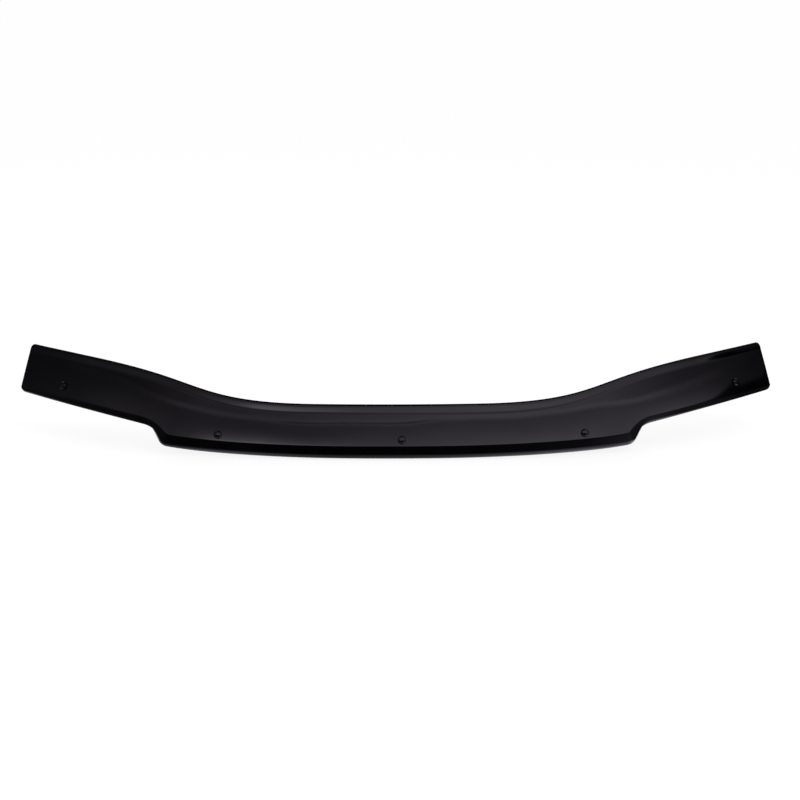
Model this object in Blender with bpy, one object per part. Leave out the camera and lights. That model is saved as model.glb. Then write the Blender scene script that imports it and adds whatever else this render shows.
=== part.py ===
"""Hood bug deflector: a formed acrylic shield on five capped screws with rubber well nuts.

Metres, Z up, X along the vehicle's width, Y towards the windscreen. The origin is the bottom centre of the
whole part. The shield is one sheet. Seen from the front it has a low middle, a step up to each wing and a
slanted end. Its face leans back, a lip along the top edge stands steeper, and the lower edge is rolled under
in two bends that fade towards the ends.
"""

import math

import bmesh
import bpy
import numpy as np
from mathutils import Matrix, Vector
from mathutils.geometry import interpolate_bezier

# The sheet
SHEET = 0.003
HALF_WIDTH = 0.724
END_SLANT = 0.018  # how far the top of each end lies inboard of its foot
TOP_CORNER_RADIUS = 0.009
FOOT_CORNER_RADIUS = 0.008

# Plan curve, which follows the hood's nose
NOSE_RADIUS = 2.6
END_SWEEP = 0.085  # extra sweep at the ends, growing with the fourth power of the width

# Section of the face, measured down from the top edge
FACE_LEAN = math.radians(37.1)
FACE_CROWN_RADIUS = 0.40
LIP_HEIGHT = 0.015
LIP_KICK = math.radians(8.5)
LIP_BEND = 0.003

# Front outline: the crease where the lower edge starts to roll under
MIDDLE_HEIGHT = 0.0681  # crease to top edge, in the middle
MIDDLE_SAG = 0.015  # the middle of the crease lies this far below its ends
MIDDLE_SAG_POWER = 3.5  # how flat the crease stays before it rises to the steps
STEP_X = 0.431
STEP_RUN = 0.0214
STEP_RISE = 0.0236
STEP_CORNER_RADIUS = 0.006
STEP_HOLLOW_RADIUS = 0.061
STEP_CORNER_SHARE = 0.2  # share of the riser that the lower corner's rounding may take
WING_RISE = 0.0321  # crease of the wing, from the step to the end
WING_BOW = 0.51  # share by which the wing's crease starts steeper than its mean slope

# Front outline: the top edge, level in the middle and then one long ease up to the end
TOP_LEVEL_HALF = 0.160
TOP_RISE = 0.0779
TOP_EASE_IN = 0.50
TOP_EASE_OUT = 0.665
TOP_END_SLOPE = 0.0425

# Rolled lower edge
ROLL_BEND_RADIUS = 0.006
ROLL_BEND_ANGLE = math.radians(28.0)
ROLL_FACET = 0.0125
ROLL_TURN_RADIUS = 0.009
ROLL_TURN_ANGLE = math.radians(50.0)
ROLL_FLANGE = 0.006
ROLL_SHARE_AT_STEP = 0.43
ROLL_SHARE_AT_END = 0.33

# Screws, in a row that sits a little to the right of the outline's middle
SCREW_ROW_SHIFT = 0.007
INNER_SCREW_INSET = 0.0895  # inboard of the step
OUTER_SCREW_INSET = 0.0826  # inboard of the end
MIDDLE_SCREW_UP = 0.0101  # above the crease
INNER_SCREW_UP = 0.0097
OUTER_SCREW_UP = 0.0193

# Fastener, along its own axis from the front of the sheet
SEAT_GAP = 0.0003
HOLE_CLEARANCE = 0.0005
SCREW_RADIUS = 0.0025
SCREW_END = 0.0015  # screw that shows past the well nut
SCREW_TIP_EDGE = 0.0008
HEAD_RADIUS = 0.0046
HEAD_SIDE = 0.0008
HEAD_HEIGHT = 0.0022
HEAD_DIMPLE_RADIUS = 0.0014
HEAD_DIMPLE_DEPTH = 0.0011
WASHER_FLOOR = 0.0012
WASHER_RIM = 0.001
CAP_WALL = 0.001
CAP_HEADROOM = 0.0006
CAP_EDGE = 0.0004
CAP_SHOULDER_RADIUS = 0.0035
CAP_CROWN = 0.0004
FLANGE_RADIUS = 0.008
FLANGE_THICKNESS = 0.003
FLANGE_EDGE = 0.0006
RUBBER_WALL = 0.0009
BARREL_LENGTH = 0.014
BARREL_EDGE = 0.0007
INSERT_WALL = 0.0008
INSERT_LENGTH = 0.006
INSERT_EDGE = 0.0003

# Fineness
MIDDLE_COLUMNS = 14
CORNER_COLUMNS = 5
HOLLOW_COLUMNS = 8
WING_COLUMNS = 9
END_COLUMNS = 4
FACE_ROWS = 6
BEND_ROWS = 3
TURN_ROWS = 5
CAP_ROWS = 5
HEAD_ROWS = 4
CURVE_SAMPLES = 120
SLOPE_STEP = 1e-4  # distance over which the face's slope is taken
CAP_SIDES = 24
NUT_SIDES = 20
INNER_SIDES = 16

STATIONS = (
    ("left_outer", -1, "outer"),
    ("left_inner", -1, "inner"),
    ("middle", 0, "middle"),
    ("right_inner", 1, "inner"),
    ("right_outer", 1, "outer"),
)

MATERIALS = {
    "smoked_acrylic": ((0.004, 0.0035, 0.0045), 0.06, 0.0),
    "cap_plastic": ((0.016, 0.016, 0.017), 0.22, 0.0),
    "washer_plastic": ((0.020, 0.020, 0.020), 0.55, 0.0),
    "zinc_steel": ((0.62, 0.61, 0.58), 0.35, 1.0),
    "nut_rubber": ((0.024, 0.024, 0.024), 0.80, 0.0),
    "insert_brass": ((0.72, 0.52, 0.23), 0.32, 1.0),
}


def clear_scene():
    for obj in list(bpy.data.objects):
        bpy.data.objects.remove(obj, do_unlink=True)


def material(name):
    color, roughness, metallic = MATERIALS[name]
    made = bpy.data.materials.get(name) or bpy.data.materials.new(name)
    made.use_nodes = True
    made.diffuse_color = (*color, 1.0)
    shader = made.node_tree.nodes["Principled BSDF"]
    shader.inputs["Base Color"].default_value = (*color, 1.0)
    shader.inputs["Roughness"].default_value = roughness
    shader.inputs["Metallic"].default_value = metallic
    return made


def add_object(name, mesh, material_name, sharp_angle=math.radians(35.0)):
    mesh.shade_smooth()
    mesh.set_sharp_from_angle(angle=sharp_angle)
    mesh.materials.append(material(material_name))
    obj = bpy.data.objects.new(name, mesh)
    bpy.context.scene.collection.objects.link(obj)
    return obj


def end_x_at_top():
    return HALF_WIDTH - END_SLANT


def top_edge(x):
    """Height of the top edge above the middle of the crease, before its corners are rounded."""
    start = Vector((TOP_LEVEL_HALF, MIDDLE_HEIGHT))
    end = Vector((end_x_at_top(), MIDDLE_HEIGHT + TOP_RISE))
    span = end.x - start.x
    rise_handle = start + Vector((TOP_EASE_IN * span, 0.0))
    end_handle = end - TOP_EASE_OUT * span * Vector((1.0, TOP_END_SLOPE))
    curve = np.array(interpolate_bezier(start, rise_handle, end_handle, end, CURVE_SAMPLES))
    along = np.abs(x)
    beyond = np.maximum(along - end.x, 0.0)
    return np.interp(along, curve[:, 0], curve[:, 1]) + TOP_END_SLOPE * beyond


def nose_sweep(x):
    along = np.abs(x)
    return along**2 / (2 * NOSE_RADIUS) + END_SWEEP * (along / HALF_WIDTH) ** 4


def face_depth(x, z):
    """How far back the face lies: the section hangs from the top edge, and the lip kicks forward."""
    drop = top_edge(x) - z
    section = math.tan(FACE_LEAN) * drop - drop**2 / (2 * FACE_CROWN_RADIUS)
    kick = math.tan(FACE_LEAN) - math.tan(FACE_LEAN - LIP_KICK)
    into_lip = LIP_HEIGHT - drop
    bending = np.clip(into_lip + LIP_BEND, 0.0, 2 * LIP_BEND) ** 2 / (4 * LIP_BEND)
    lip = bending + np.maximum(into_lip - LIP_BEND, 0.0)
    return nose_sweep(x) - section - kick * lip


def face_point(x, z):
    return np.stack([x, face_depth(x, z), z], axis=-1)


def face_normal(x, z):
    """Unit normal of the face, out of its front."""
    step = SLOPE_STEP
    slope_x = (face_depth(x + step, z) - face_depth(x - step, z)) / (2 * step)
    slope_z = (face_depth(x, z + step) - face_depth(x, z - step)) / (2 * step)
    normal = np.stack([slope_x, -np.ones_like(slope_x), slope_z], axis=-1)
    return normal / np.linalg.norm(normal, axis=-1, keepdims=True)


def fillet(before, corner, after, radius, count):
    """Points of the arc that rounds a corner, limited by the shorter of its two sides."""
    before, corner, after = (np.array(p) for p in (before, corner, after))
    back = (before - corner) / np.linalg.norm(before - corner)
    on = (after - corner) / np.linalg.norm(after - corner)
    half = math.acos(float(back @ on)) / 2
    room = min(np.linalg.norm(before - corner), np.linalg.norm(after - corner))
    radius = min(radius, room * math.tan(half))
    middle = (back + on) / np.linalg.norm(back + on)
    centre = corner + middle * radius / math.sin(half)
    touch = corner + back * radius / math.tan(half) - centre
    turn = math.pi - 2 * half
    if back[0] * on[1] - back[1] * on[0] > 0:
        turn = -turn
    points = []
    for angle in np.linspace(0.0, turn, count + 1):
        cos, sin = math.cos(angle), math.sin(angle)
        points.append(centre + (cos * touch[0] - sin * touch[1], sin * touch[0] + cos * touch[1]))
    return points


def middle_crease(x):
    return MIDDLE_SAG * (x / STEP_X) ** MIDDLE_SAG_POWER


def wing_crease(x):
    start = STEP_X + STEP_RUN
    along = (x - start) / (HALF_WIDTH - start)
    return MIDDLE_SAG + STEP_RISE + WING_RISE * ((1 + WING_BOW) * along - WING_BOW * along**2)


def half_crease():
    """Front outline of the crease from the middle to the right end, as (x, height) points."""
    foot = (STEP_X, middle_crease(STEP_X))
    head = (STEP_X + STEP_RUN, wing_crease(STEP_X + STEP_RUN))
    riser = math.hypot(STEP_RUN, STEP_RISE)
    inboard = STEP_X - riser / 2
    outboard = head[0] + riser
    split = np.array(foot) + STEP_CORNER_SHARE * np.subtract(head, foot)
    corner = fillet((inboard, middle_crease(inboard)), foot, split, STEP_CORNER_RADIUS, CORNER_COLUMNS)
    hollow = fillet(split, head, (outboard, wing_crease(outboard)), STEP_HOLLOW_RADIUS, HOLLOW_COLUMNS)
    level = [(x, middle_crease(x)) for x in np.linspace(0.0, corner[0][0], MIDDLE_COLUMNS + 1)[:-1]]
    rounding = HALF_WIDTH - FOOT_CORNER_RADIUS
    wing_x = np.linspace(hollow[-1][0], rounding, WING_COLUMNS + 1)[1:]
    angles = np.linspace(0.0, math.pi / 2, END_COLUMNS + 1)[1:]
    end_x = [rounding + FOOT_CORNER_RADIUS * math.sin(angle) for angle in angles]
    wing = [(x, wing_crease(x)) for x in (*wing_x, *end_x)]
    return np.array([*level, *corner, *hollow, *wing])


def crease():
    """The whole crease, left end to right end."""
    right = half_crease()
    left = right[:0:-1] * (-1.0, 1.0)
    return np.concatenate([left, right])


def end_rounding(x):
    """1 along the edges, falling to 0 over the rounded corner at each end."""
    into = np.clip((np.abs(x) - HALF_WIDTH + FOOT_CORNER_RADIUS) / FOOT_CORNER_RADIUS, 0.0, 1.0)
    return np.sqrt(1.0 - into**2)


def roll_share(x):
    """How much of the roll there is: all of it in the middle, less past the step, fading to the ends."""
    start = STEP_X + STEP_RUN
    stepped = np.clip((np.abs(x) - STEP_X) / STEP_RUN, 0.0, 1.0)
    along = np.clip((np.abs(x) - start) / (HALF_WIDTH - start), 0.0, 1.0)
    wing = ROLL_SHARE_AT_STEP + (ROLL_SHARE_AT_END - ROLL_SHARE_AT_STEP) * along
    return (1 - (1 - wing) * stepped) * end_rounding(x)


def roll_section(share):
    """(outward, deep) points of the roll past the crease, along the face and into its depth."""
    points = []
    outward = deep = 0.0
    for angle in np.linspace(0.0, ROLL_BEND_ANGLE, BEND_ROWS + 1)[1:]:
        outward = ROLL_BEND_RADIUS * math.sin(angle)
        deep = ROLL_BEND_RADIUS * (1 - math.cos(angle))
        points.append((outward, deep))
    facet = ROLL_FACET * share
    outward += facet * math.cos(ROLL_BEND_ANGLE)
    deep += facet * math.sin(ROLL_BEND_ANGLE)
    points.append((outward, deep))
    last_angle = ROLL_BEND_ANGLE + ROLL_TURN_ANGLE * share
    for angle in np.linspace(ROLL_BEND_ANGLE, last_angle, TURN_ROWS + 1)[1:]:
        points.append(
            (
                outward + ROLL_TURN_RADIUS * (math.sin(angle) - math.sin(ROLL_BEND_ANGLE)),
                deep + ROLL_TURN_RADIUS * (math.cos(ROLL_BEND_ANGLE) - math.cos(angle)),
            )
        )
    outward, deep = points[-1]
    flange = ROLL_FLANGE * share
    points.append((outward + flange * math.cos(last_angle), deep + flange * math.sin(last_angle)))
    return np.array(points)


def face_rows(foot):
    """Rows of the face from the top edge down to the crease, over the whole width."""
    foot_x, foot_z = foot[:, 0], foot[:, 1]
    wing_start = STEP_X + STEP_RUN
    out = np.clip((np.abs(foot_x) - wing_start) / (HALF_WIDTH - wing_start), 0.0, 1.0)
    head_x = foot_x - np.sign(foot_x) * END_SLANT * out**2
    corner = min(TOP_CORNER_RADIUS, LIP_HEIGHT - 2 * LIP_BEND)
    corner_drop = corner * (1 - end_rounding(foot_x))
    height = top_edge(head_x) - foot_z
    lip_drops = [LIP_HEIGHT + share * LIP_BEND for share in (-1.0, -1 / 3, 1 / 3, 1.0)]
    rows = []
    for drop in (corner_drop, *lip_drops):
        x = head_x + (foot_x - head_x) * drop / height
        rows.append(face_point(x, top_edge(x) - drop))
    last_x, last_z = rows[-1][:, 0], rows[-1][:, 2]
    for share in np.linspace(0.0, 1.0, FACE_ROWS + 1)[1:]:
        rows.append(face_point(last_x + (foot_x - last_x) * share, last_z + (foot_z - last_z) * share))
    return rows


def roll_rows(foot):
    """Rows of the rolled edge from the crease to the tip of its flange."""
    x, z = foot[:, 0], foot[:, 1]
    points = face_point(x, z)
    normals = face_normal(x, z)
    along = np.gradient(points, axis=0)
    outward = np.cross(along, normals)
    outward /= np.linalg.norm(outward, axis=1, keepdims=True)
    sections = np.array([roll_section(share) for share in roll_share(x)])
    rows = []
    for row in range(sections.shape[1]):
        out, deep = sections[:, row, 0:1], sections[:, row, 1:2]
        rows.append(points + out * outward - deep * normals)
    return rows


def make_shield():
    foot = crease()
    rows = np.array([*face_rows(foot), *roll_rows(foot)])
    count, columns = rows.shape[:2]
    bm = bmesh.new()
    grid = [[bm.verts.new(point) for point in row] for row in rows]
    for row in range(count - 1):
        for column in range(columns - 1):
            bm.faces.new(
                (
                    grid[row][column],
                    grid[row + 1][column],
                    grid[row + 1][column + 1],
                    grid[row][column + 1],
                )
            )
    mesh = bpy.data.meshes.new("deflector_shield")
    bm.to_mesh(mesh)
    bm.free()
    shield = add_object("deflector_shield", mesh, "smoked_acrylic")
    skin = shield.modifiers.new("sheet", "SOLIDIFY")
    skin.thickness = SHEET
    skin.offset = -1.0
    skin.use_even_offset = True
    skin.use_quality_normals = True
    return shield


def revolved(name, profile, sides, closed):
    """A turned mesh about Z. A closed profile makes a ring, and an open one starts and ends on the axis."""
    bm = bmesh.new()
    rings = []
    for radius, height in profile:
        if radius == 0.0:
            rings.append([bm.verts.new((0.0, 0.0, height))])
            continue
        turns = [2 * math.pi * side / sides for side in range(sides)]
        rings.append([bm.verts.new((radius * math.cos(a), radius * math.sin(a), height)) for a in turns])
    pairs = list(zip(rings, rings[1:]))
    if closed:
        pairs.append((rings[-1], rings[0]))
    for upper, lower in pairs:
        for side in range(sides):
            after = (side + 1) % sides
            corners = [upper[side % len(upper)], upper[after % len(upper)]]
            corners += [lower[after % len(lower)], lower[side % len(lower)]]
            bm.faces.new(list(dict.fromkeys(corners)))
    bmesh.ops.recalc_face_normals(bm, faces=bm.faces)
    mesh = bpy.data.meshes.new(name)
    bm.to_mesh(mesh)
    bm.free()
    return mesh


def dome(radius, base, height, count):
    """Points of a spherical dome from its rim at the base to just short of the axis, then the axis."""
    rise = height - base
    sphere = (radius**2 + rise**2) / (2 * rise)
    rim_angle = math.asin(radius / sphere)
    points = []
    for angle in np.linspace(rim_angle, 0.0, count + 1):
        points.append((sphere * math.sin(angle), height - sphere + sphere * math.cos(angle)))
    points[-1] = (0.0, height)
    return points


def washer_outer_radius():
    return HEAD_RADIUS + 2 * SEAT_GAP + WASHER_RIM


def cap_outer_radius():
    return washer_outer_radius() + SEAT_GAP + CAP_WALL


def head_seat():
    """Height of the screw head's underside above the sheet."""
    return SEAT_GAP + WASHER_FLOOR + SEAT_GAP


def barrel_end():
    """Height of the well nut's far end, below the front of the sheet."""
    return -(SHEET + SEAT_GAP + FLANGE_THICKNESS + BARREL_LENGTH)


def button(radius, height, shoulder_radius, count):
    """Points of a flat round button from its side, over its shoulder, to the middle of its slight crown."""
    shoulder = fillet((radius, 0.0), (radius, height - CAP_CROWN), (0.0, height), shoulder_radius, count)
    return [*(tuple(point) for point in shoulder), (0.0, height)]


def cap_profile():
    inner_top = head_seat() + HEAD_HEIGHT + CAP_HEADROOM
    outer = cap_outer_radius()
    outside = button(outer, inner_top + CAP_WALL, CAP_SHOULDER_RADIUS, CAP_ROWS)
    inside = button(outer - CAP_WALL, inner_top, CAP_SHOULDER_RADIUS - CAP_WALL, CAP_ROWS // 2)
    edge = [(outer - CAP_WALL, SEAT_GAP), (outer - CAP_EDGE, SEAT_GAP), (outer, SEAT_GAP + CAP_EDGE)]
    return [*inside[::-1], *edge, *outside]


def washer_profile():
    outer = washer_outer_radius()
    bore = SCREW_RADIUS + SEAT_GAP
    rim_top = head_seat()
    floor_top = SEAT_GAP + WASHER_FLOOR
    return [
        (bore, SEAT_GAP),
        (outer, SEAT_GAP),
        (outer, rim_top),
        (outer - WASHER_RIM, rim_top),
        (outer - WASHER_RIM, floor_top),
        (bore, floor_top),
    ]


def screw_profile():
    seat = head_seat()
    crown = dome(HEAD_RADIUS, seat + HEAD_SIDE, seat + HEAD_HEIGHT, HEAD_ROWS)
    dimple_rim = [point for point in crown if point[0] > HEAD_DIMPLE_RADIUS]
    tip = barrel_end() - SCREW_END
    return [
        (0.0, tip),
        (SCREW_RADIUS - SCREW_TIP_EDGE, tip),
        (SCREW_RADIUS, tip + SCREW_TIP_EDGE),
        (SCREW_RADIUS, seat),
        (HEAD_RADIUS, seat),
        *dimple_rim,
        (HEAD_DIMPLE_RADIUS, dimple_rim[-1][1]),
        (0.0, dimple_rim[-1][1] - HEAD_DIMPLE_DEPTH),
    ]


def well_nut_profile():
    bore = SCREW_RADIUS + SEAT_GAP
    insert_outer = bore + INSERT_WALL
    socket = insert_outer + SEAT_GAP
    barrel = socket + RUBBER_WALL
    front = -(SHEET + SEAT_GAP)
    back = front - FLANGE_THICKNESS
    end = barrel_end()
    socket_floor = end + INSERT_LENGTH + SEAT_GAP
    return [
        (bore, front),
        (FLANGE_RADIUS - FLANGE_EDGE, front),
        (FLANGE_RADIUS, front - FLANGE_EDGE),
        (FLANGE_RADIUS, back),
        (barrel, back),
        (barrel, end + BARREL_EDGE),
        (barrel - BARREL_EDGE, end),
        (socket, end),
        (socket, socket_floor),
        (bore, socket_floor),
    ]


def insert_profile():
    bore = SCREW_RADIUS + SEAT_GAP
    outer = bore + INSERT_WALL
    end = barrel_end()
    top = end + INSERT_LENGTH
    return [
        (bore, end),
        (outer - INSERT_EDGE, end),
        (outer, end + INSERT_EDGE),
        (outer, top),
        (bore, top),
    ]


def screw_place(side, row):
    """Where a screw's axis meets the front of the sheet, as (x, height)."""
    from_middle = {
        "middle": 0.0,
        "inner": STEP_X - INNER_SCREW_INSET,
        "outer": HALF_WIDTH - OUTER_SCREW_INSET,
    }[row]
    up = {"middle": MIDDLE_SCREW_UP, "inner": INNER_SCREW_UP, "outer": OUTER_SCREW_UP}[row]
    x = side * from_middle + SCREW_ROW_SHIFT
    line = wing_crease if abs(x) > STEP_X else middle_crease
    return x, line(abs(x)) + up


def station_frame(side, row):
    """Frame of a screw: Z out of the sheet, X level."""
    x, z = (np.array(value) for value in screw_place(side, row))
    out = Vector(face_normal(x, z))
    level = Vector((0.0, 0.0, 1.0)).cross(out).normalized()
    up = out.cross(level)
    turn = Matrix((level, up, out)).transposed().to_4x4()
    return Matrix.Translation(Vector(face_point(x, z))) @ turn


def cut_hole(shield, holder, name):
    """A through hole for one screw, cut square to the sheet."""
    radius = SCREW_RADIUS + HOLE_CLEARANCE
    front, back = SHEET, -2 * SHEET
    profile = [(0.0, front), (radius, front), (radius, back), (0.0, back)]
    cutter = bpy.data.objects.new(name, revolved(name, profile, NUT_SIDES, closed=False))
    bpy.context.scene.collection.objects.link(cutter)
    cutter.parent = holder
    cutter.hide_render = True
    cutter.display_type = "WIRE"
    cut = shield.modifiers.new(name, "BOOLEAN")
    cut.operation = "DIFFERENCE"
    cut.solver = "EXACT"
    cut.object = cutter


def make_fasteners(shield):
    """The five capped screws, each piece its own object on its station's empty."""
    pieces = (
        ("screw_cap", cap_profile(), CAP_SIDES, False, "cap_plastic"),
        ("cup_washer", washer_profile(), INNER_SIDES, True, "washer_plastic"),
        ("screw", screw_profile(), INNER_SIDES, False, "zinc_steel"),
        ("well_nut", well_nut_profile(), NUT_SIDES, True, "nut_rubber"),
        ("nut_insert", insert_profile(), INNER_SIDES, True, "insert_brass"),
    )
    holders = []
    for station, side, row in STATIONS:
        holder = bpy.data.objects.new(f"station_{station}", None)
        bpy.context.scene.collection.objects.link(holder)
        holder.matrix_world = station_frame(side, row)
        holders.append(holder)
        cut_hole(shield, holder, f"hole_{station}")
        for piece, profile, sides, closed, material_name in pieces:
            name = f"{piece}_{station}"
            add_object(name, revolved(name, profile, sides, closed), material_name).parent = holder
    return holders


def move_to_bottom_centre(carriers):
    """Puts the origin at the bottom centre of the whole part."""
    bpy.context.view_layer.update()
    graph = bpy.context.evaluated_depsgraph_get()
    points = []
    for obj in bpy.context.scene.objects:
        if obj.type != "MESH" or obj.hide_render:
            continue
        solid = obj.evaluated_get(graph)
        mesh = solid.to_mesh()
        points += [solid.matrix_world @ vertex.co for vertex in mesh.vertices]
        solid.to_mesh_clear()
    points = np.array(points)
    low, high = points.min(axis=0), points.max(axis=0)
    reference = Vector(((low[0] + high[0]) / 2, (low[1] + high[1]) / 2, low[2]))
    for obj in carriers:
        obj.location -= reference


def main():
    clear_scene()
    shield = make_shield()
    holders = make_fasteners(shield)
    move_to_bottom_centre([shield, *holders])


main()
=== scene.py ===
"""Looks of the hood bug deflector: a finer shield, its capped screws, and the studio they are seen in.

Metres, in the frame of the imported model. The shield and the fasteners repeat the part's named sizes.
"""

import math

import bmesh
import bpy
import numpy as np
from mathutils import Matrix, Vector, noise
from mathutils.geometry import interpolate_bezier


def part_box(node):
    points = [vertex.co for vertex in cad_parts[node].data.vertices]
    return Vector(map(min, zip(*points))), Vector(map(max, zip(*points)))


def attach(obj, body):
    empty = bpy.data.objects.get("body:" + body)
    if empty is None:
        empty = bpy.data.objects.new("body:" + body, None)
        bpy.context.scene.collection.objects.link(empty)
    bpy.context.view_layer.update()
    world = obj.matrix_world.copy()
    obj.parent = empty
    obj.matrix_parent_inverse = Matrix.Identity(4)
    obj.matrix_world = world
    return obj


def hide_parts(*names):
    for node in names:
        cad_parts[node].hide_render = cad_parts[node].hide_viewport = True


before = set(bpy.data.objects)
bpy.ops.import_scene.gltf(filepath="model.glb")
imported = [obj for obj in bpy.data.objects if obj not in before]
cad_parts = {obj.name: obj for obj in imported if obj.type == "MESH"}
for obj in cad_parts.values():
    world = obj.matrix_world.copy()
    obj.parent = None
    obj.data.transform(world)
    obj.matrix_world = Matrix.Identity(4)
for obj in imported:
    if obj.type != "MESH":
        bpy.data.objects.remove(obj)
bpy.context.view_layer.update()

# The sheet
SHEET = 0.003
RIM_REACH = 0.0045  # how far in from the trimmed edge its front starts to curl back
RIM_DEPTH = 0.0020
RIM_SPREAD = 0.00105  # how far the curled rim stands out, so that its outline is seen where the named one is
BACK_RIM_REACH = 0.0004
HALF_WIDTH = 0.724
END_SLANT = 0.018
TOP_CORNER_RADIUS = 0.009
FOOT_CORNER_RADIUS = 0.008

# Plan curve
NOSE_RADIUS = 2.6
END_SWEEP = 0.085

# Section of the face
FACE_LEAN = math.radians(37.1)
FACE_CROWN_RADIUS = 0.40
LIP_HEIGHT = 0.015
LIP_KICK = math.radians(8.5)
LIP_BEND = 0.003
END_LIP_KICK = math.radians(3.0)  # more kick near the ends, which moves the top edge under 1 mm
END_LIP_SPAN = (0.555, 0.60)

# Front outline
MIDDLE_HEIGHT = 0.0681
MIDDLE_SAG = 0.015
MIDDLE_SAG_POWER = 3.5
STEP_X = 0.431
STEP_RUN = 0.0214
STEP_RISE = 0.0236
STEP_CORNER_RADIUS = 0.006
STEP_HOLLOW_RADIUS = 0.061
STEP_CORNER_SHARE = 0.2
WING_RISE = 0.0321
WING_BOW = 0.51
TOP_LEVEL_HALF = 0.160
TOP_RISE = 0.0779
TOP_EASE_IN = 0.50
TOP_EASE_OUT = 0.665
TOP_END_SLOPE = 0.0425

# Rolled lower edge
ROLL_BEND_RADIUS = 0.006
ROLL_BEND_ANGLE = math.radians(28.0)
ROLL_FACET = 0.0125
ROLL_TURN_RADIUS = 0.009
ROLL_TURN_ANGLE = math.radians(50.0)
ROLL_FLANGE = 0.006
ROLL_SHARE_AT_STEP = 0.43
ROLL_SHARE_AT_END = 0.33
LEAST_ROLL_SHARE = 0.02

# Screws and their fasteners
SCREW_ROW_SHIFT = 0.007
INNER_SCREW_INSET = 0.0895
OUTER_SCREW_INSET = 0.0826
SCREW_UP = {"middle": 0.0101, "inner": 0.0097, "outer": 0.0193}
SEAT_GAP = 0.0003
SCREW_RADIUS = 0.0025
SCREW_END = 0.0015
SCREW_TIP_EDGE = 0.0008
HEAD_RADIUS = 0.0046
HEAD_SIDE = 0.0008
HEAD_HEIGHT = 0.0022
HEAD_DIMPLE_RADIUS = 0.0014
HEAD_DIMPLE_DEPTH = 0.0011
WASHER_FLOOR = 0.0012
WASHER_RIM = 0.001
CAP_WALL = 0.001
CAP_HEADROOM = 0.0006
CAP_EDGE = 0.0004
CAP_SHOULDER_RADIUS = 0.0037
CAP_CROWN = 0.0002
FLANGE_RADIUS = 0.008
FLANGE_THICKNESS = 0.003
RUBBER_WALL = 0.0009
RUBBER_EDGE = 0.00035
BARREL_LENGTH = 0.014
INSERT_WALL = 0.0008
INSERT_LENGTH = 0.006
INSERT_EDGE = 0.00015
THREAD_PITCH = 0.0008
THREAD_DEPTH = 0.0004

STATIONS = {
    "left_outer": (-1, "outer"),
    "left_inner": (-1, "inner"),
    "middle": (0, "middle"),
    "right_inner": (1, "inner"),
    "right_outer": (1, "outer"),
}

# Fineness
MIDDLE_COLUMNS = 64
CORNER_COLUMNS = 10
HOLLOW_COLUMNS = 18
WING_COLUMNS = 40
END_COLUMNS = 8
LIP_ROWS = 5
LIP_BEND_ROWS = 8
FACE_ROWS = 26
BEND_ROWS = 8
FACET_ROWS = 2
TURN_ROWS = 10
FLANGE_ROWS = 2
FRONT_RIM_STEPS = 10
BACK_RIM_STEPS = 3
CURVE_SAMPLES = 600
SLOPE_STEP = 1e-4
TURNED_SIDES = 64
CAP_SHOULDER_STEPS = 14
CAP_CROWN_STEPS = 5
HEAD_STEPS = 10
EDGE_STEPS = 4
THREAD_STEPS = 8  # rings in each pitch
AXIS_REACH = 1e-9  # a point nearer to the axis than this lies on it
SHARP_ANGLE = math.radians(40.0)  # an edge that turns more than this is not shaded smooth

# Waves left in the sheet by its forming
WAVE_HEIGHT = 0.00016
WAVE_LENGTH = 0.11
WAVE_SQUEEZE = 2.0  # how much shorter the waves are up the sheet than along it

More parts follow.
